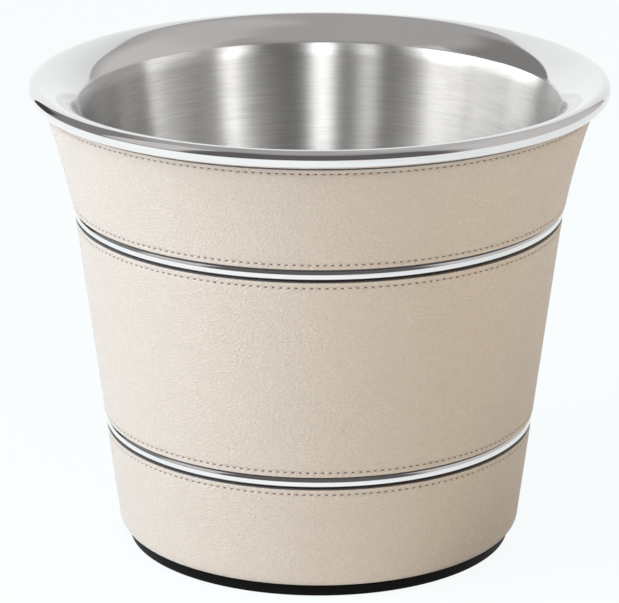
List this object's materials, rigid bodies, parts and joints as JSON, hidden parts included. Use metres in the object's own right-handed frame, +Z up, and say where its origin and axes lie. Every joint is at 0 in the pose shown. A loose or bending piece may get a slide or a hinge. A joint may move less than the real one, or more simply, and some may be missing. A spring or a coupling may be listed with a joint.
{
  "type": "champagne bucket",
  "caption": "Round open bucket for chilling a bottle in ice: steel liner with a wide polished lip and rolled rim, in a flared shell clad in leather bands parted by bright hoops.",
  "frame": {"origin": "centre of the foot's underside, which is the bottom centre of the whole bucket", "axes": "+Z up along the bucket's axis; the bucket is round, and -Y faces the picture's camera, so the bands' joins are at +Y"},
  "size_m": [0.25, 0.25, 0.2062],
  "materials": {
    "liner_steel": "brushed round inside, mirror polished on lip and rim",
    "casing_steel": "spun, unpolished",
    "hoop_metal": "mirror polished",
    "cream_leather": "fine pebbled grain, soft sheen",
    "leather_board": "pressed fibre, matte",
    "cork": "pressed granules",
    "black_rubber": "moulded, matte"
  },
  "bodies": {
    "root": {"liner": "liner_steel", "casing": "casing_steel", "upper_hoop": "hoop_metal", "lower_hoop": "hoop_metal", "upper_leather": "cream_leather", "middle_leather": "cream_leather", "lower_leather": "cream_leather", "upper_backing": "leather_board", "middle_backing": "leather_board", "lower_backing": "leather_board", "support_pad": "cork", "foot": "black_rubber"}
  },
  "joints": []
}
